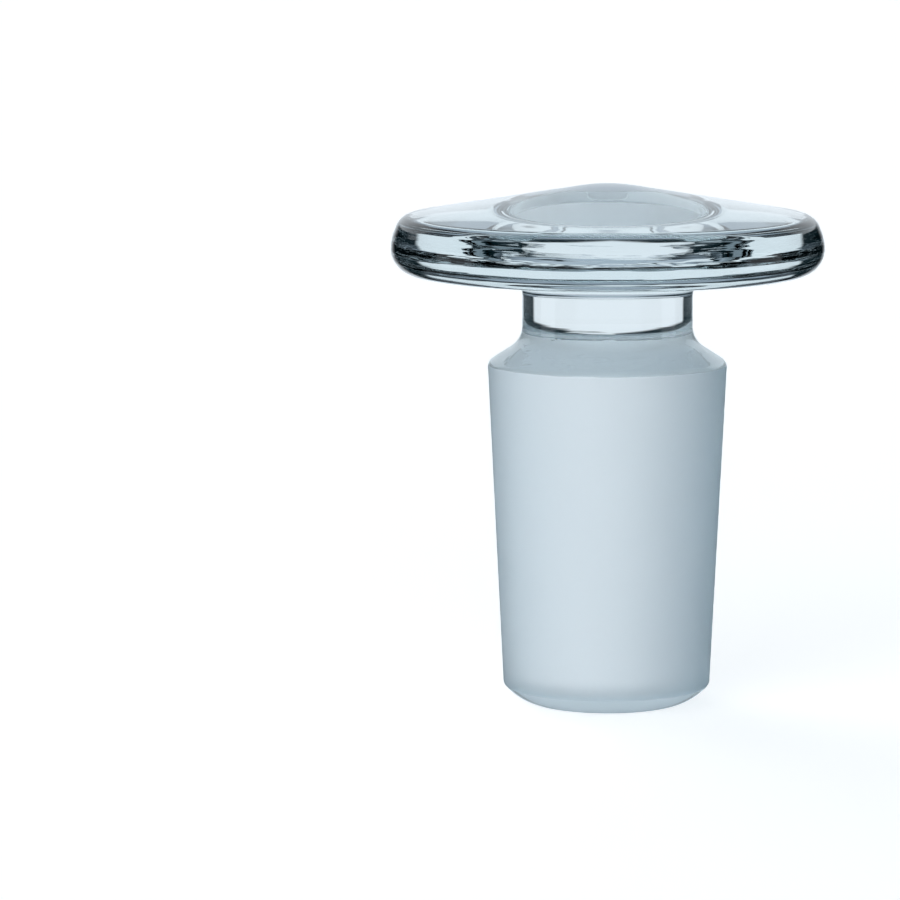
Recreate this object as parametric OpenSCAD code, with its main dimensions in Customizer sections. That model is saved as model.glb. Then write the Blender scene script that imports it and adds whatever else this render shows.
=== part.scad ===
// Solid glass stopper for a ground-glass neck, revolved in one piece.
//
// From the bottom up it has a flat small end with a rounded edge, a ground cone,
// a shoulder, a neck to hold it by, and a round penny head with a crowned top.
// All lengths are millimetres and angles degrees. The axis is Z, and the origin
// is the centre of the flat at the small end, on which the stopper stands.

/* [Ground cone] */
// Diameter at the cone's large end, its gauge diameter
cone_d = 18.8; // [14:0.1:24]
// Height of the ground cone, from its lower edge to its upper edge
cone_len = 25.5; // [15:0.5:40]
// Length over which the cone's diameter grows by one
cone_taper = 10; // [8:0.5:15]
// Radius of the edge where the cone meets the shoulder
cone_edge_r = 0.7; // [0.1:0.1:1.2]
// Radius of the edge where the cone meets the rounded end
cone_foot_r = 0.8; // [0.1:0.1:1.2]

/* [Small end] */
// Height of the rounded end below the ground cone
end_h = 1.7; // [0.8:0.1:3]
// Radial width of the rounded end's slope, from its corner to the cone
end_slope_w = 1.5; // [0.8:0.1:3]
// Radius between the flat and the slope
end_round_r = 4.7; // [1:0.1:6]

/* [Shoulder and neck] */
// Height of the shoulder's slope
shoulder_h = 1.75; // [1:0.05:3]
// Radius of the hollow where the shoulder meets the neck
shoulder_r = 2; // [0.5:0.1:3]
// Neck diameter
neck_d = 13.4; // [9:0.1:13.8]
// Height of the neck, from the shoulder's slope to the lower edge of the head
neck_h = 5.15; // [4:0.05:10]
// Radius of the hollow where the neck meets the head
neck_top_r = 2; // [0.3:0.1:2.4]

/* [Head] */
// Head diameter, across the upright part of the rim
head_d = 34; // [28:0.5:42]
// Height by which the underside rises from its edge to the neck
hollow_h = 0.3; // [0:0.05:0.8]
// Thickness of the head at its rim
rim_h = 4.5; // [3.5:0.05:6]
// Height of the rim's upright part, below the part that leans in
rim_upright_h = 2.7; // [1.5:0.1:3]
// Radial width by which the rim leans in up to the crown
rim_lean_w = 0.7; // [0.1:0.1:1.5]
// Radius of the rim's lower edge
rim_lower_r = 2.05; // [0.5:0.05:2.5]
// Radius between the rim's upright part and the part that leans in
rim_side_r = 3.7; // [1:0.1:6]
// Radius of the rim's upper edge
rim_upper_r = 1.4; // [0.5:0.1:2]
// Height of the crown above the rim
crown_h = 2.6; // [1:0.1:4]
// Diameter of the rounded tip in the middle of the crown
tip_d = 4.8; // [2:0.2:8]

/* [Hidden] */

// Largest turn between two neighbouring points of an arc
ARC_STEP = 3;
// Sides of the revolved solid in OpenSCAD's preview
ROUND_FN = 240;

// Heights of the profile's corners
cone_foot_z = end_h;
cone_top_z = cone_foot_z + cone_len;
neck_foot_z = cone_top_z + shoulder_h;
head_z = neck_foot_z + neck_h;
lean_z = head_z + rim_upright_h;
rim_top_z = head_z + rim_h;
top_z = rim_top_z + crown_h;

// Radii of the profile's corners
cone_small_r = (cone_d - cone_len / cone_taper) / 2;
end_r = cone_small_r - end_slope_w;
rim_top_r = head_d / 2 - rim_lean_w;
tip_corner_r = tip_d / 4;

// Radius of the arc that rounds the crown's tip and lies level on the axis
tip_slope = atan2(top_z - rim_top_z, rim_top_r - tip_corner_r);
tip_arc_r = tip_corner_r / tan(tip_slope / 2);

// Corners of half the section, each as [radius, height, rounding], from the axis
// at the small end, out and up, and back to the axis at the crown
PROFILE = [
    [0, 0, 0],
    [end_r, 0, end_round_r],
    [cone_small_r, cone_foot_z, cone_foot_r],
    [cone_d / 2, cone_top_z, cone_edge_r],
    [neck_d / 2, neck_foot_z, shoulder_r],
    [neck_d / 2, head_z + hollow_h, neck_top_r],
    [head_d / 2, head_z, rim_lower_r],
    [head_d / 2, lean_z, rim_side_r],
    [rim_top_r, rim_top_z, rim_upper_r],
    [tip_corner_r, top_z, tip_arc_r],
    [0, top_z, 0]
];

function point(i) = [PROFILE[i][0], PROFILE[i][1]];
function unit(v) = v / norm(v);

// Half of the angle between the two sides at corner i
function half_angle(i) =
    acos(unit(point(i - 1) - point(i)) * unit(point(i + 1) - point(i))) / 2;

// Length of each side that corner i's rounding takes up at its full radius
function reach(i) = PROFILE[i][2] == 0 ? 0 : PROFILE[i][2] / tan(half_angle(i));

// The share of that reach for which the side between corners i and j has room
function room(i, j) = min(1, norm(point(i) - point(j)) / (reach(i) + reach(j)));

// Points of the arc that rounds corner i
function rounded(i) =
    let (
        u = unit(point(i - 1) - point(i)),
        v = unit(point(i + 1) - point(i)),
        half = half_angle(i),
        side = reach(i) * min(room(i, i - 1), room(i, i + 1)),
        centre = point(i) + unit(u + v) * side / cos(half),
        start = point(i) + u * side - centre,
        turn = (180 - 2 * half) * (cross(u, v) > 0 ? -1 : 1),
        steps = ceil(abs(turn) / ARC_STEP)
    )
    [for (k = [0:steps])
        let (t = turn * k / steps)
        centre + [start[0] * cos(t) - start[1] * sin(t), start[0] * sin(t) + start[1] * cos(t)]];

// Half the section, with its corners rounded
OUTLINE = [
    for (i = [0:len(PROFILE) - 1])
        each PROFILE[i][2] == 0 ? [point(i)] : rounded(i)
];

module stopper() {
    color("lightsteelblue")
        rotate_extrude($fn = ROUND_FN)
            polygon(OUTLINE);
}

stopper();
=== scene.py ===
"""A solid glass stopper with a ground cone, on a pale studio table.

The stopper is one revolved piece. Its outline has a corner wherever two surfaces meet,
each corner is rounded by an arc, and the outline is turned about the Z axis. The head,
neck, shoulder and small end are clear, and the cone between them is ground to a frost.
"""
import math
from collections import namedtuple
from types import SimpleNamespace

import bpy
from mathutils import Matrix, Vector


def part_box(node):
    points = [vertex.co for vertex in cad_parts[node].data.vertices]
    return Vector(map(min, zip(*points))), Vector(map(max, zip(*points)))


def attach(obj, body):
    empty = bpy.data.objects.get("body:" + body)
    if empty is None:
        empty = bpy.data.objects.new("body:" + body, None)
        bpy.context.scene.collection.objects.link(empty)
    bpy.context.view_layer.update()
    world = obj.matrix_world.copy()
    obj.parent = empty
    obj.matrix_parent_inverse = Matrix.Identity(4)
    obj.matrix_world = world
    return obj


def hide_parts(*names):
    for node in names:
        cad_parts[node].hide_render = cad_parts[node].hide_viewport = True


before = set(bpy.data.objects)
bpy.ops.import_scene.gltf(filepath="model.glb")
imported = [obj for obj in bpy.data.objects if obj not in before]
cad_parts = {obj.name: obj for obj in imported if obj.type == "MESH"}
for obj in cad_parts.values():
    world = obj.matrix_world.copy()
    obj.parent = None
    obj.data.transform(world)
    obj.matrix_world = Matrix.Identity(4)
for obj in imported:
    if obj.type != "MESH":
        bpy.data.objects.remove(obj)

bl_info = {
    "name": "Glass stopper",
    "version": (1, 0, 0),
    "blender": (4, 5, 0),
    "location": "3D View > Sidebar > Stopper",
    "description": "Builds a glass stopper with a ground cone and the table it stands on",
    "category": "Add Mesh",
}

MM = 0.001
NODE = "stopper"
BODY = "root"
LOW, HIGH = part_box(NODE)
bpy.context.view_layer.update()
WHITE = (1.0, 1.0, 1.0)


# ---------------------------------------------------------------- values a user would change

def length(name, description, default, low=0.0, high=0.1):
    """A property that holds a length in metres."""
    return bpy.props.FloatProperty(
        name=name,
        description=description,
        default=default,
        min=low,
        max=high,
        precision=5,
        subtype="DISTANCE",
        unit="LENGTH",
    )


def count(name, description, default, low, high):
    """A property that holds a whole number."""
    return bpy.props.IntProperty(
        name=name, description=description, default=default, min=low, max=high
    )


def amount(name, description, default, low=0.0, high=1.0):
    """A property that holds a plain number."""
    return bpy.props.FloatProperty(
        name=name, description=description, default=default, min=low, max=high, precision=3
    )


def share(name, description, default):
    """A property that holds a share from 0 to 1."""
    return bpy.props.FloatProperty(
        name=name, description=description, default=default, min=0.0, max=1.0, subtype="FACTOR"
    )


def angle(name, description, default_deg):
    """A property that holds an angle, with its default in degrees."""
    return bpy.props.FloatProperty(
        name=name,
        description=description,
        default=math.radians(default_deg),
        min=-math.pi,
        max=math.pi,
        subtype="ANGLE",
    )


def colour(name, description, default):
    """A property that holds a colour."""
    return bpy.props.FloatVectorProperty(
        name=name, description=description, default=default, size=3, min=0.0, max=1.0, subtype="COLOR"
    )


class StopperSizes(bpy.types.PropertyGroup):
    """Sizes of the stopper's outline, from the flat it stands on to the tip of its head"""

    height: length("Height", "Height of the whole stopper", HIGH.z - LOW.z)
    cone_d: length("Cone diameter", "Diameter at the cone's large end", 18.8 * MM)
    cone_len: length("Cone length", "Height of the ground cone", 25.5 * MM)
    cone_taper: amount("Cone taper", "Length over which the diameter grows by one", 10.0, 5.0, 50.0)
    cone_edge_r: length("Cone edge radius", "Radius between cone and shoulder", 0.7 * MM)
    cone_foot_r: length("Cone foot radius", "Radius between cone and rounded end", 0.8 * MM)
    end_h: length("End height", "Height of the rounded end below the cone", 1.7 * MM)
    end_slope_w: length("End slope width", "Radial width of the rounded end's slope", 1.5 * MM)
    end_round_r: length("End radius", "Radius between the flat and the slope", 4.7 * MM)
    shoulder_h: length("Shoulder height", "Height of the shoulder's slope", 1.75 * MM)
    shoulder_r: length("Shoulder radius", "Radius between shoulder and neck", 2.0 * MM)
    neck_d: length("Neck diameter", "Diameter of the neck", 13.4 * MM)
    neck_h: length("Neck height", "Height from the shoulder to the edge of the head", 5.15 * MM)
    neck_top_r: length("Neck top radius", "Radius between neck and head", 2.0 * MM)
    head_d: length("Head diameter", "Diameter across the upright part of the rim", HIGH.x - LOW.x)
    hollow_h: length("Hollow height", "Rise of the head's underside from edge to neck", 0.3 * MM)
    rim_h: length("Rim height", "Height of the head's rim", 4.5 * MM)
    rim_upright_h: length("Upright height", "Height of the rim's upright part", 2.7 * MM)
    rim_lean_w: length("Lean width", "Width by which the rim leans in above it", 0.7 * MM)
    rim_lower_r: length("Lower rim radius", "Radius of the rim's lower edge", 2.05 * MM)
    rim_side_r: length("Side radius", "Radius between the upright and leaning parts", 3.7 * MM)
    rim_upper_r: length("Upper rim radius", "Radius of the rim's upper edge", 1.4 * MM)
    tip_d: length("Tip diameter", "Width over which the crown's tip is rounded", 4.8 * MM)
    wave_h: length("Wave height", "Depth of the slow waves left by shaping in a flame", 0.02 * MM)
    wave_l: length("Wave length", "Width of one such wave", 9.0 * MM, 1.0 * MM)


class StopperMesh(bpy.types.PropertyGroup):
    """Fineness of the stopper's mesh"""

    segments: count("Segments", "Faces around the stopper", 288, 24, 720)
    arc_points: count("Arc points", "Points on each rounded corner", 22, 2, 60)
    row_l: length("Row length", "Longest face along a straight stretch", 0.8 * MM, 0.1 * MM)


class GlassLook(bpy.types.PropertyGroup):
    """Finish of the glass"""

    ior: amount("Refraction", "Index of refraction of the glass", 1.5, 1.0, 2.5)
    depth_tint: colour("Depth tint", "Colour that thick glass takes", (0.55, 0.78, 0.82))
    depth_density: amount("Depth density", "Absorption in each metre of glass", 14.0, 0.0, 200.0)
    relief_h: length("Relief height", "Height of grain, streaks and marks of depth 1", 0.02 * MM)
    grain: amount("Grain", "Depth of the ground cone's grain", 0.25, 0.0, 4.0)
    streaks: amount("Streaks", "Depth of the fine streaks round the rim", 0.8, 0.0, 4.0)
    marks: amount("Marks", "Depth of the faint marks on the shoulder", 1.5, 0.0, 4.0)
    frost_roughness: share("Frost roughness", "Roughness of the ground cone", 0.45)
    frost_patches: share("Frost patches", "How much the frost's roughness varies", 0.12)
    frost_body: share("Frost body", "How milky the ground cone is", 0.8)
    frost_depth: share("Frost depth", "Share of the milkiness that shines through", 0.1)
    frost_glow: share("Frost glow", "How much more shines through, seen from within the glass", 0.55)
    frost_edge: share("Frost edge", "How much less milky the cone looks at a slant", 0.9)
    # Painted shade: less milk near the cone's lower border makes it darker there
    painted_foot_shade: share("Frost thin", "How much less milky the cone is at its lower border", 0.5)
    painted_foot_shade_h: length("Thin height", "Height over which the frost thins to that border", 1.6 * MM)
    frost_tint: colour("Frost tint", "Colour of the ground surface", (0.84, 0.90, 0.94))
    ground_tint: colour("Ground tint", "Colour of what shines through that surface", (0.6, 0.72, 0.8))
    frost_drop: length("Frost drop", "How far the frost's borders lie below the cone's edges", 0.2 * MM)
    frost_blur: length("Frost blur", "How far a border of the frost fades to either side", 0.04 * MM)
    frost_wander: length("Frost wander", "Height by which a border of the frost wavers", 0.12 * MM)


class StageLook(bpy.types.PropertyGroup):
    """The table, the studio around it and the camera"""

    table_r: length("Table radius", "Radius of the round table", 1.4, 0.1, 10.0)
    table_colour: colour("Table colour", "Colour of the table", (0.9, 0.9, 0.9))
    fill: amount("Fill", "Light from all round on matt surfaces", 0.2, 0.0, 2.0)
    fill_colour: colour("Fill colour", "Colour of the light from all round", (0.62, 0.84, 1.0))
    lamp: amount("Lamp", "Light from the soft lamp in front on matt surfaces", 6.3, 0.0, 12.0)
    lamp_turn: angle("Lamp side", "Where the lamp in front stands, from straight behind", -158.0)
    back_lamp: amount("Back lamp", "Light from the soft lamp behind on matt surfaces", 5.8, 0.0, 12.0)
    back_turn: angle("Back lamp side", "Where the lamp behind stands, from straight behind", -32.0)
    lamp_focus: amount("Lamp focus", "How tightly each lamp's light is gathered", 8.0, 1.0, 64.0)
    table_lift: amount("Table lift", "What the camera sees on the table besides its light", 0.6)
    room_colour: colour("Room colour", "Colour of the studio's dark parts", (0.004, 0.012, 0.016))
    window_colour: colour("Window colour", "Colour of the studio's window", (0.83, 0.90, 0.96))
    window_half: angle("Window", "Half width of the window behind the stopper", 50.0)
    mirror_half: angle("Mirrored window", "Half width of the window that polished glass mirrors", 16.0)
    window_top: angle("Window top", "Highest direction of the window", 34.0)
    window_foot: angle("Window foot", "Lowest direction of the window", -26.0)
    foot_rise: amount("Foot rise", "How steeply the window's foot rises to either side", 0.35)
    tilt: angle("Camera tilt", "How far the camera looks down", 7.15)
    distance: length("Camera distance", "From the lens to the aim point", 0.5026, 0.05, 5.0)
    lens: amount("Lens", "Focal length in millimetres", 256.0, 10.0, 1000.0)
    sensor_w: amount("Sensor width", "Width of the camera's sensor in millimetres", 36.0, 1.0, 100.0)
    aim_z: length("Aim height", "Height of the point on the axis that the camera aims by", 27 * MM)
    aim_right: amount("Aim right", "That point's place right of the frame's middle", 0.1748, -0.5)
    aim_up: amount("Aim up", "That point's place above the frame's middle", 0.0957, -0.5)


# ---------------------------------------------------------------- node trees written as sums

class Value:
    """A node's output socket, so that arithmetic on it adds Math nodes."""

    def __init__(self, tree, socket):
        self.tree = tree
        self.socket = socket

    def out(self, name):
        """Another output of the same node."""
        return Value(self.tree, self.socket.node.outputs[name])

    def math(self, operation, *others):
        """A Math node whose first value is this one."""
        return self.tree.math(operation, self, *others)

    def __add__(self, other):
        return self.math("ADD", other)

    def __radd__(self, other):
        return self.tree.math("ADD", other, self)

    def __sub__(self, other):
        return self.math("SUBTRACT", other)

    def __rsub__(self, other):
        return self.tree.math("SUBTRACT", other, self)

    def __mul__(self, other):
        return self.math("MULTIPLY", other)

    def __rmul__(self, other):
        return self.tree.math("MULTIPLY", other, self)

    def __truediv__(self, other):
        return self.math("DIVIDE", other)

    def __rtruediv__(self, other):
        return self.tree.math("DIVIDE", other, self)


class Tree:
    """A node tree that is written from scratch."""

    def __init__(self, node_tree):
        self.nodes = node_tree.nodes
        self.links = node_tree.links
        self.nodes.clear()

    def node(self, kind, settings=None, inputs=None, output=0):
        """Adds a node, makes its settings, then fills its inputs, and gives one output."""
        made = self.nodes.new(kind)
        for name, setting in (settings or {}).items():
            setattr(made, name, setting)
        for name, value in (inputs or {}).items():
            self.fill(made.inputs[name], value)
        return Value(self, made.outputs[output]) if made.outputs else made

    def fill(self, socket, value):
        """Links a value to a socket, or sets the socket to a plain number, colour or vector."""
        if isinstance(value, Value):
            self.links.new(value.socket, socket)
        elif socket.type == "RGBA" and len(value) == 3:
            socket.default_value = (*value, 1.0)
        else:
            socket.default_value = value

    def math(self, operation, *values):
        """A Math node."""
        return self.node("ShaderNodeMath", {"operation": operation}, dict(enumerate(values)))

    def ramp(self, value, start, end):
        """Rises smoothly from 0 at start to 1 at end."""
        return self.node(
            "ShaderNodeMapRange",
            {"interpolation_type": "SMOOTHSTEP"},
            {"Value": value, "From Min": start, "From Max": end},
        )

    def band(self, value, start, full, ebb, end):
        """Rises from 0 at start to 1 at full, and falls from 1 at ebb to 0 at end."""
        return self.ramp(value, start, full) * self.ramp(value, end, ebb)

    def blend(self, factor, first, second):
        """A colour that goes from first to second. The Mix node has its colours at 6, 7 and 2."""
        return self.node("ShaderNodeMix", {"data_type": "RGBA"}, {0: factor, 6: first, 7: second}, 2)

    def noise(self, vector, scale, detail, roughness=0.5):
        """Soft random patches between 0 and 1, with scale patches to the metre."""
        return self.node(
            "ShaderNodeTexNoise",
            None,
            {"Vector": vector, "Scale": scale, "Detail": detail, "Roughness": roughness},
        )

    def vector(self, x, y, z):
        """A vector from its three parts."""
        return self.node("ShaderNodeCombineXYZ", None, {"X": x, "Y": y, "Z": z})

    def split(self, vector):
        """The three parts of a vector."""
        parts = self.node("ShaderNodeSeparateXYZ", None, {"Vector": vector})
        return parts.out("X"), parts.out("Y"), parts.out("Z")


# ---------------------------------------------------------------- the revolved mesh

# Points closer than this, in metres, are joined at the two poles and along the seam
SAME_POINT = 1e-7


def settings_of(group):
    """The identifiers and names of a property group's own values."""
    own = [item for item in group.bl_rna.properties if item.identifier not in ("rna_type", "name")]
    return [(item.identifier, item.name) for item in own]


def add_inputs(node_tree, group):
    """Gives a geometry tree one named input for each value in a property group."""
    kinds = {"FLOAT": "NodeSocketFloat", "INT": "NodeSocketInt"}
    for identifier, name in settings_of(group):
        kind = kinds[group.bl_rna.properties[identifier].type]
        node_tree.interface.new_socket(name=name, in_out="INPUT", socket_type=kind)


def levels(size):
    """Heights of the cone's upper edge, the neck's foot, the head's lower edge and the rim's top."""
    cone_top_z = size.end_h + size.cone_len
    neck_foot_z = cone_top_z + size.shoulder_h
    head_z = neck_foot_z + size.neck_h
    return cone_top_z, neck_foot_z, head_z, head_z + size.rim_h


def outline_corners(size):
    """Radius, height and rounding of each corner of the outline, from the flat to the tip."""
    cone_top_z, neck_foot_z, head_z, rim_top_z = levels(size)
    cone_r = size.cone_d / 2
    foot_r = cone_r - size.cone_len / size.cone_taper / 2
    neck_r = size.neck_d / 2
    head_r = size.head_d / 2
    rim_top_r = head_r - size.rim_lean_w
    tip_r = size.tip_d / 4
    tip_slope = ((size.height - rim_top_z) / (rim_top_r - tip_r)).math("ARCTANGENT")
    tip_arc_r = tip_r / (tip_slope / 2).math("TANGENT")
    return [
        (0.0, 0.0, 0.0),
        (foot_r - size.end_slope_w, 0.0, size.end_round_r),
        (foot_r, size.end_h, size.cone_foot_r),
        (cone_r, cone_top_z, size.cone_edge_r),
        (neck_r, neck_foot_z, size.shoulder_r),
        (neck_r, head_z + size.hollow_h, size.neck_top_r),
        (head_r, head_z, size.rim_lower_r),
        (head_r, head_z + size.rim_upright_h, size.rim_side_r),
        (rim_top_r, rim_top_z, size.rim_upper_r),
        (tip_r, size.height, tip_arc_r),
        (0.0, size.height, 0.0),
    ]


def pick(tree, values):
    """A number for each point, chosen from a list by the point's index."""
    chooser = tree.nodes.new("GeometryNodeIndexSwitch")
    chooser.data_type = "FLOAT"
    while len(chooser.index_switch_items) < len(values):
        chooser.index_switch_items.new()
    tree.fill(chooser.inputs["Index"], tree.node("GeometryNodeInputIndex"))
    for index, value in enumerate(values):
        tree.fill(chooser.inputs[str(index)], value)
    return Value(tree, chooser.outputs[0])


def rounded_outline(tree, corners, arc_points, row_l):
    """The outline as a curve in the XZ plane, with arcs at its corners and short rows."""
    radii, heights, roundings = zip(*corners)
    place = tree.vector(pick(tree, radii), 0.0, pick(tree, heights))
    points = tree.node("GeometryNodePoints", None, {"Count": len(corners), "Position": place})
    order = tree.node("GeometryNodeInputIndex")
    sharp = tree.node("GeometryNodePointsToCurves", None, {"Points": points, "Weight": order})
    smooth = tree.node(
        "GeometryNodeFilletCurve",
        {"mode": "POLY"},
        {
            "Curve": sharp,
            "Count": arc_points,
            "Radius": pick(tree, roundings),
            "Limit Radius": True,
        },
    )
    along = tree.node("GeometryNodeSplineParameter").out("Length")
    following = tree.node("GeometryNodeInputIndex") + 1
    along_next = tree.node(
        "GeometryNodeFieldAtIndex",
        {"data_type": "FLOAT", "domain": "POINT"},
        {"Value": along, "Index": following},
    )
    cuts = ((along_next - along) / row_l).math("FLOOR").math("MAXIMUM", 0.0)
    return tree.node("GeometryNodeSubdivideCurve", None, {"Curve": smooth, "Cuts": cuts})


def turned(tree, outline, segments):
    """The outline turned about the Z axis, as a closed mesh."""
    rows = tree.node("GeometryNodeAttributeDomainSize", {"component": "CURVE"}, {"Geometry": outline})
    columns = segments + 1
    grid = tree.node(
        "GeometryNodeMeshGrid", None, {"Vertices X": rows.out("Point Count"), "Vertices Y": columns}
    )
    index = tree.node("GeometryNodeInputIndex")
    row = (index / columns).math("FLOOR")
    column = index.math("MODULO", columns).math("MODULO", segments)
    spot = tree.node(
        "GeometryNodeSampleIndex",
        {"data_type": "FLOAT_VECTOR", "domain": "POINT"},
        {"Geometry": outline, "Value": tree.node("GeometryNodeInputPosition"), "Index": row},
    )
    radius, _, height = tree.split(spot)
    turn = column / segments * -math.tau
    place = tree.vector(radius * turn.math("COSINE"), radius * turn.math("SINE"), height)
    shaped = tree.node("GeometryNodeSetPosition", None, {"Geometry": grid, "Position": place})
    return tree.node("GeometryNodeMergeByDistance", None, {"Geometry": shaped, "Distance": SAME_POINT})


def waved(tree, mesh, size):
    """The mesh with slow waves on the head and neck, and none on the ground cone."""
    position = tree.node("GeometryNodeInputPosition")
    _, _, height = tree.split(position)
    _, neck_foot_z, _, _ = levels(size)
    fade = tree.ramp(height, neck_foot_z, neck_foot_z + size.neck_h / 2)
    wave = tree.noise(position, 1.0 / size.wave_l, detail=1.0) - 0.5
    normal = tree.node("GeometryNodeInputNormal")
    offset = tree.node(
        "ShaderNodeVectorMath",
        {"operation": "SCALE"},
        {"Vector": normal, "Scale": wave * fade * size.wave_h},
    )
    return tree.node("GeometryNodeSetPosition", None, {"Geometry": mesh, "Offset": offset})


def stopper_tree(sizes, mesh_settings):
    """A geometry tree that makes the stopper from named inputs."""
    node_tree = bpy.data.node_groups.new("turned_stopper", "GeometryNodeTree")
    node_tree.is_modifier = True
    sockets = node_tree.interface
    sockets.new_socket(name="Geometry", in_out="OUTPUT", socket_type="NodeSocketGeometry")
    add_inputs(node_tree, sizes)
    add_inputs(node_tree, mesh_settings)
    sockets.new_socket(name="Material", in_out="INPUT", socket_type="NodeSocketMaterial")

    tree = Tree(node_tree)
    given = tree.node("NodeGroupInput")
    named = settings_of(sizes) + settings_of(mesh_settings)
    size = SimpleNamespace(**{identifier: given.out(name) for identifier, name in named})

    outline = rounded_outline(tree, outline_corners(size), size.arc_points, size.row_l)
    mesh = waved(tree, turned(tree, outline, size.segments), size)
    smooth = tree.node("GeometryNodeSetShadeSmooth", None, {"Geometry": mesh})
    real = tree.node("GeometryNodeRealizeInstances", None, {"Geometry": smooth})
    finished = tree.node(
        "GeometryNodeSetMaterial", None, {"Geometry": real, "Material": given.out("Material")}
    )
    tree.node("NodeGroupOutput", None, {"Geometry": finished})
    return node_tree


def built_mesh(node_tree, groups, material, name):
    """Runs a geometry tree on its inputs' values and keeps the result as a plain mesh."""
    maker = bpy.data.objects.new(f"{name}_maker", bpy.data.meshes.new(f"{name}_start"))
    bpy.context.collection.objects.link(maker)
    modifier = maker.modifiers.new("turn", "NODES")
    modifier.node_group = node_tree
    inputs = [item for item in node_tree.interface.items_tree if item.in_out == "INPUT"]
    sockets = {item.name: item.identifier for item in inputs}
    for group in groups:
        for identifier, socket_name in settings_of(group):
            modifier[sockets[socket_name]] = getattr(group, identifier)
    modifier[sockets["Material"]] = material
    evaluated = maker.evaluated_get(bpy.context.evaluated_depsgraph_get())
    mesh = bpy.data.meshes.new_from_object(evaluated)
    bpy.data.objects.remove(maker)
    mesh.name = name
    return mesh


# ---------------------------------------------------------------- materials

def new_material(name):
    """An empty node material and its tree."""
    material = bpy.data.materials.new(name)
    material.use_nodes = True
    return material, Tree(material.node_tree)


# A fine pattern in the glass: its patches to the metre, its fineness along the level against
# upright, and the detail and roughness of its noise. Below 1, level draws it out into streaks.
Pattern = namedtuple("Pattern", "scale level detail roughness")

BORDER = Pattern(500.0, 1.0, 2.0, 0.5)
GRAIN = Pattern(9000.0, 1.0, 3.0, 0.6)
RUBBING = Pattern(260.0, 3.0, 3.0, 0.5)
STREAKS = Pattern(3000.0, 0.06, 1.5, 0.5)
MARKS = Pattern(1500.0, 0.35, 2.0, 0.5)
# The part of the marks' pattern that shows, from where a mark begins to where it is deepest
MARKS_SHOWN = (0.55, 0.72)


def patterned(tree, position, pattern):
    """One of the glass's fine patterns, from 0 to 1."""
    x, y, z = tree.split(position)
    place = tree.vector(x * pattern.level, y * pattern.level, z)
    return tree.noise(place, pattern.scale, pattern.detail, pattern.roughness)


def frost_cover(tree, position, sizes, look):
    """1 on the ground cone and 0 elsewhere, with slightly uneven borders."""
    _, _, z = tree.split(position)
    height = z + (patterned(tree, position, BORDER) - 0.5) * look.frost_wander
    low = sizes.end_h - look.frost_drop
    high = low + sizes.cone_len
    blur = look.frost_blur
    return tree.band(height, low - blur, low + blur, high - blur, high + blur)


def glass_relief(tree, position, frost, sizes, look):
    """Grain on the frost, streaks drawn round the rim and faint marks on the shoulder."""
    cone_top_z, neck_foot_z, head_z, rim_top_z = levels(sizes)
    rim_foot_fade = 0.6 * MM
    rim_top_fade = 0.8 * MM
    slope_foot_fade = 0.4 * MM
    slope_top_fade = 0.8 * MM
    _, _, z = tree.split(position)
    rim = tree.band(z, head_z, head_z + rim_foot_fade, rim_top_z - rim_top_fade, rim_top_z)
    slope = tree.band(
        z, cone_top_z, cone_top_z + slope_foot_fade, neck_foot_z, neck_foot_z + slope_top_fade
    )
    grain = patterned(tree, position, GRAIN)
    streaks = patterned(tree, position, STREAKS)
    marks = tree.ramp(patterned(tree, position, MARKS), *MARKS_SHOWN)
    return frost * grain * look.grain + rim * streaks * look.streaks + slope * marks * look.marks


def frost_milk(tree, bump, look):
    """The frost's milky body, which shines through a little, and more when seen from within."""
    near = tree.node("ShaderNodeBsdfDiffuse", None, {"Color": look.frost_tint, "Normal": bump})
    far = tree.node("ShaderNodeBsdfTranslucent", None, {"Color": look.frost_tint, "Normal": bump})
    within = tree.node("ShaderNodeNewGeometry", None, None, "Backfacing")
    through = look.frost_depth + within * look.frost_glow
    return tree.node("ShaderNodeMixShader", None, {"Fac": through, 1: near, 2: far})


def milkiness(tree, position, frost, sizes, look):
    """How much of the frost's milk shows: less at a slant, and less near the lower border as painted
    shade.
    """
    _, _, z = tree.split(position)
    low = sizes.end_h - look.frost_drop
    # Painted shade: the milk thins near the lower border so that the cone looks darker there
    painted_shade = tree.ramp(z, low + look.painted_foot_shade_h, low) * look.painted_foot_shade
    facing = tree.node("ShaderNodeLayerWeight", None, {"Blend": 0.5}, "Facing")
    return frost * look.frost_body * (1 - facing * look.frost_edge) * (1 - painted_shade)


def glass_material(sizes, look):
    """Clear glass, ground to a frost on the cone."""
    material, tree = new_material("ground_glass")
    position = tree.node("ShaderNodeTexCoord", None, None, "Object")
    frost = frost_cover(tree, position, sizes, look)
    patches = (patterned(tree, position, RUBBING) - 0.5) * look.frost_patches
    relief = glass_relief(tree, position, frost, sizes, look)
    bump = tree.node(
        "ShaderNodeBump", None, {"Strength": 1.0, "Distance": look.relief_h, "Height": relief}
    )
    glass = tree.node(
        "ShaderNodeBsdfPrincipled",
        None,
        {
            "Base Color": tree.blend(frost, WHITE, look.ground_tint),
            "Roughness": frost * (look.frost_roughness + patches),
            "IOR": look.ior,
            "Transmission Weight": 1.0,
            "Normal": bump,
        },
    )
    milk = frost_milk(tree, bump, look)
    milky = milkiness(tree, position, frost, sizes, look)
    surface = tree.node("ShaderNodeMixShader", None, {"Fac": milky, 1: glass, 2: milk})
    depth = tree.node(
        "ShaderNodeVolumeAbsorption", None, {"Color": look.depth_tint, "Density": look.depth_density}
    )
    tree.node("ShaderNodeOutputMaterial", None, {"Surface": surface, "Volume": depth})
    return material


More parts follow.
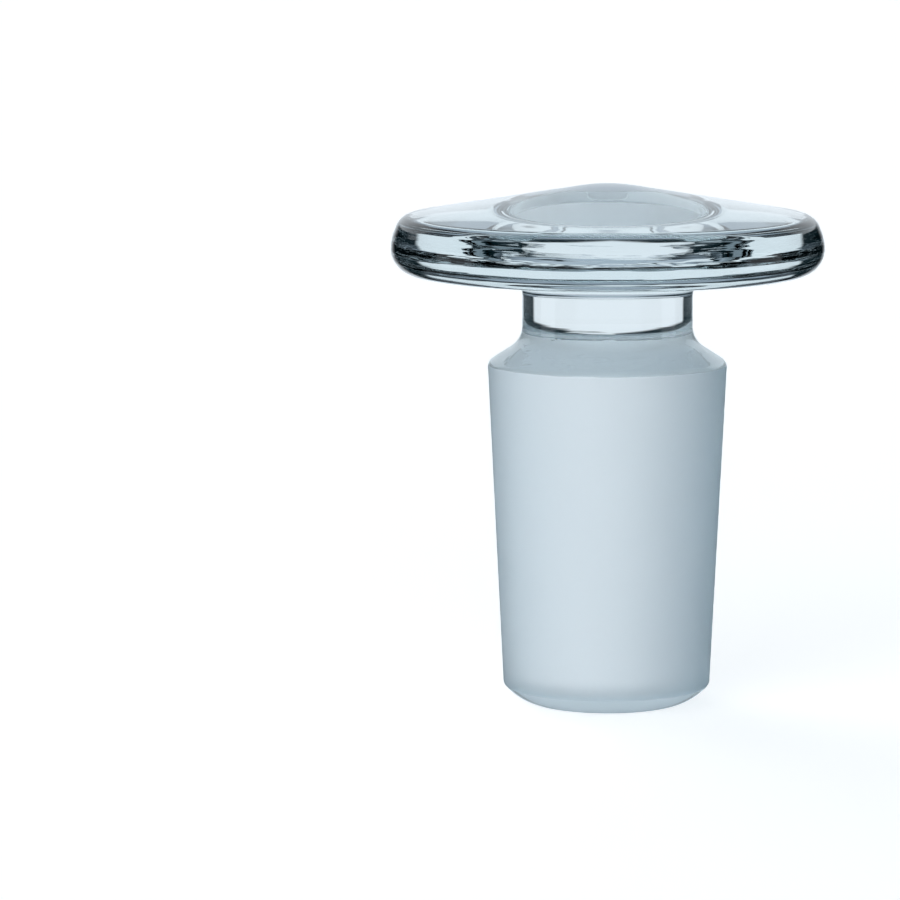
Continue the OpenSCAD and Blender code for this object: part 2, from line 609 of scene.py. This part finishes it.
def table_material(look):
    """A pale matt table that looks white to the camera and lets glass see the studio."""
    material, tree = new_material("pale_table")
    ray = tree.node("ShaderNodeLightPath")
    matt = tree.node("ShaderNodeBsdfDiffuse", None, {"Color": look.table_colour})
    lift = tree.node(
        "ShaderNodeEmission",
        None,
        {"Color": WHITE, "Strength": ray.out("Is Camera Ray") * look.table_lift},
    )
    lit = tree.node("ShaderNodeAddShader", None, {0: matt, 1: lift})
    clear = tree.node("ShaderNodeBsdfTransparent")
    surface = tree.node("ShaderNodeMixShader", None, {"Fac": glass_ray(tree), 1: lit, 2: clear})
    tree.node("ShaderNodeOutputMaterial", None, {"Surface": surface})
    return material


def glass_ray(tree):
    """1 for a ray that was mirrored or refracted by glass, and 0 for any other."""
    ray = tree.node("ShaderNodeLightPath")
    bent = ray.out("Is Glossy Ray").math("MAXIMUM", ray.out("Is Transmission Ray"))
    return bent * (1 - ray.out("Is Diffuse Ray"))


# ---------------------------------------------------------------- the stage

# A lit panel of the studio. Its edges are angles in degrees from straight behind the stopper, to
# either side and upwards, and each edge fades over soft degrees to either side of it.
Panel = namedtuple("Panel", "near far low high soft colour")

PANELS = (
    Panel(0, 180, -90, -30, 3, (0.20, 0.25, 0.29)),
    Panel(0, 50, -90, -30, 3, (0.31, 0.37, 0.44)),
    Panel(0, 180, -90, -60, 8, (0.26, 0.31, 0.36)),
    Panel(140, 180, 0, 90, 12, (0.10, 0.13, 0.16)),
    Panel(0, 80, 18, 90, 14, (0.30, 0.36, 0.43)),
    Panel(0, 80, 44, 90, 8, (0.45, 0.52, 0.60)),
    Panel(0, 180, 66, 90, 8, (0.42, 0.50, 0.58)),
    Panel(77, 103, -24, 12, 2, (0.70, 0.77, 0.84)),
    Panel(136, 180, -24, 34, 5, (0.45, 0.51, 0.57)),
)

# How far the window's edges fade, at its sides, at its sides as polished glass mirrors them, at
# its foot and at its top
SIDE_FADE = math.radians(2.0)
MIRROR_FADE = math.radians(8.0)
FOOT_FADE = math.radians(3.0)
TOP_FADE = math.radians(4.0)
# Polished glass mirrors the narrow window up to the first height, and the whole one from the second
MIRROR_LOW = math.radians(4.0)
MIRROR_HIGH = math.radians(14.0)


def panel_mask(tree, aside, above, panel):
    """1 inside a panel of the studio and 0 outside, with soft edges."""
    mask = 1.0
    edges = (
        (aside, panel.near, 1, panel.near > 0),
        (aside, panel.far, -1, panel.far < 180),
        (above, panel.low, 1, panel.low > -90),
        (above, panel.high, -1, panel.high < 90),
    )
    for where, edge, inward, real in edges:
        if real:
            soft = inward * panel.soft
            mask = tree.ramp(where, math.radians(edge - soft), math.radians(edge + soft)) * mask
    return mask


def window_mask(tree, aside, above, look):
    """1 inside the window behind the stopper, which looks narrower mirrored than through glass."""
    ray = tree.node("ShaderNodeLightPath")
    mirrored = ray.out("Is Glossy Ray") * (1 - ray.out("Is Transmission Ray"))
    mirrored = mirrored * tree.ramp(above, MIRROR_HIGH, MIRROR_LOW)
    half = look.window_half - mirrored * (look.window_half - look.mirror_half)
    fade = SIDE_FADE + mirrored * (MIRROR_FADE - SIDE_FADE)
    sides = tree.ramp((half - aside) / fade, -1.0, 1.0)
    lowest = look.window_foot + aside * look.foot_rise
    foot = tree.ramp((above - lowest) / FOOT_FADE, -1.0, 1.0)
    top = tree.ramp(above, look.window_top + TOP_FADE, look.window_top - TOP_FADE)
    return sides * foot * top


def studio_colour(tree, look):
    """The studio as the glass sees it, a dark room with panels laid over each other and a window."""
    direction = tree.node("ShaderNodeTexCoord", None, None, "Generated")
    x, y, z = tree.split(direction)
    aside = x.math("ARCTAN2", y).math("ABSOLUTE")
    above = z.math("ARCSINE")
    colour = look.room_colour
    for panel in PANELS:
        colour = tree.blend(panel_mask(tree, aside, above, panel), colour, panel.colour)
    return tree.blend(window_mask(tree, aside, above, look), colour, look.window_colour)


def beam(tree, direction, turn, focus):
    """How much of a soft lamp, which stands level in the direction turn, lies in a direction."""
    towards = (math.sin(turn), math.cos(turn), 0.0)
    facing = tree.node(
        "ShaderNodeVectorMath", {"operation": "DOT_PRODUCT"}, {0: direction, 1: towards}, "Value"
    )
    return facing.math("MAXIMUM", 0.0).math("POWER", focus)


def soft_light(tree, look):
    """What lights matt surfaces, a bluish fill from all round and a soft lamp before and behind."""
    direction = tree.node("ShaderNodeTexCoord", None, None, "Generated")
    front = beam(tree, direction, look.lamp_turn, look.lamp_focus) * look.lamp
    back = beam(tree, direction, look.back_turn, look.lamp_focus) * look.back_lamp
    lamps = front + back
    tint = tree.blend(lamps, look.fill_colour, WHITE)
    return tree.node("ShaderNodeBackground", None, {"Color": tint, "Strength": lamps + look.fill})


def studio_world(look):
    """White for the camera, soft light for matt surfaces, and the studio's panels for the glass."""
    world = bpy.data.worlds.new("studio")
    world.use_nodes = True
    world.cycles.sampling_method = "NONE"
    bpy.context.scene.world = world
    tree = Tree(world.node_tree)
    colour = tree.blend(glass_ray(tree), WHITE, studio_colour(tree, look))
    clear = tree.node("ShaderNodeBackground", None, {"Color": colour, "Strength": 1.0})
    matt = tree.node("ShaderNodeLightPath").out("Is Diffuse Ray")
    light = tree.node("ShaderNodeMixShader", None, {"Fac": matt, 1: clear, 2: soft_light(tree, look)})
    tree.node("ShaderNodeOutputWorld", None, {"Surface": light})


def round_table(look):
    """A flat disc for the stopper to stand on."""
    corners = 96
    turns = [math.tau * corner / corners for corner in range(corners)]
    rim = [(look.table_r * math.cos(turn), look.table_r * math.sin(turn), LOW.z) for turn in turns]
    mesh = bpy.data.meshes.new("table")
    mesh.from_pydata(rim, [], [range(corners)])
    mesh.materials.append(table_material(look))
    table = bpy.data.objects.new("table", mesh)
    bpy.context.collection.objects.link(table)


def camera(look):
    """A long lens that looks slightly down on the stopper."""
    data = bpy.data.cameras.new("camera")
    data.sensor_width = look.sensor_w
    data.lens = look.lens
    data.clip_start = 0.01
    right = Vector((1.0, 0.0, 0.0))
    ahead = Vector((0.0, math.cos(look.tilt), -math.sin(look.tilt)))
    up = right.cross(ahead)
    frame_w = look.distance * look.sensor_w / look.lens
    aside = right * look.aim_right * frame_w
    above = up * look.aim_up * frame_w
    place = Vector((0.0, 0.0, look.aim_z)) - ahead * look.distance - aside - above
    eye = bpy.data.objects.new("camera", data)
    eye.matrix_world = Matrix.Translation(place) @ Matrix((right, up, -ahead)).transposed().to_4x4()
    bpy.context.collection.objects.link(eye)
    bpy.context.scene.camera = eye


# ---------------------------------------------------------------- operators and panel

class STOPPER_OT_glass(bpy.types.Operator):
    """Turn the stopper from its sizes and give it its glass"""

    bl_idname = "stopper.glass"
    bl_label = "Add stopper"

    def execute(self, context):
        scene = context.scene
        groups = (scene.stopper_sizes, scene.stopper_mesh)
        material = glass_material(scene.stopper_sizes, scene.stopper_glass)
        tree = stopper_tree(*groups)
        mesh = built_mesh(tree, groups, material, "glass_stopper")
        piece = bpy.data.objects.new("glass_stopper", mesh)
        context.collection.objects.link(piece)
        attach(piece, BODY)
        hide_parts(NODE)
        return {"FINISHED"}


class STOPPER_OT_stage(bpy.types.Operator):
    """Add the table, the studio light and the camera"""

    bl_idname = "stopper.stage"
    bl_label = "Add stage"

    def execute(self, context):
        look = context.scene.stopper_stage
        context.scene.view_settings.view_transform = "Standard"
        round_table(look)
        studio_world(look)
        camera(look)
        return {"FINISHED"}


class STOPPER_PT_panel(bpy.types.Panel):
    """Sizes, finish and stage of the stopper"""

    bl_label = "Glass stopper"
    bl_idname = "STOPPER_PT_panel"
    bl_space_type = "VIEW_3D"
    bl_region_type = "UI"
    bl_category = "Stopper"

    def draw(self, context):
        for name in GROUPS:
            box = self.layout.box()
            group = getattr(context.scene, name)
            for identifier, _ in settings_of(group):
                box.prop(group, identifier)
        self.layout.operator(STOPPER_OT_glass.bl_idname)
        self.layout.operator(STOPPER_OT_stage.bl_idname)


GROUPS = {
    "stopper_sizes": StopperSizes,
    "stopper_mesh": StopperMesh,
    "stopper_glass": GlassLook,
    "stopper_stage": StageLook,
}
CLASSES = (*GROUPS.values(), STOPPER_OT_glass, STOPPER_OT_stage, STOPPER_PT_panel)


def register():
    """Makes the classes and the scene's groups of values known."""
    for item in CLASSES:
        bpy.utils.register_class(item)
    for name, group in GROUPS.items():
        setattr(bpy.types.Scene, name, bpy.props.PointerProperty(type=group))


def unregister():
    """Takes them away again."""
    for name in GROUPS:
        delattr(bpy.types.Scene, name)
    for item in reversed(CLASSES):
        bpy.utils.unregister_class(item)


def main():
    """Builds the stopper and its stage."""
    register()
    bpy.ops.stopper.glass()
    bpy.ops.stopper.stage()


if __name__ == "__main__":
    main()
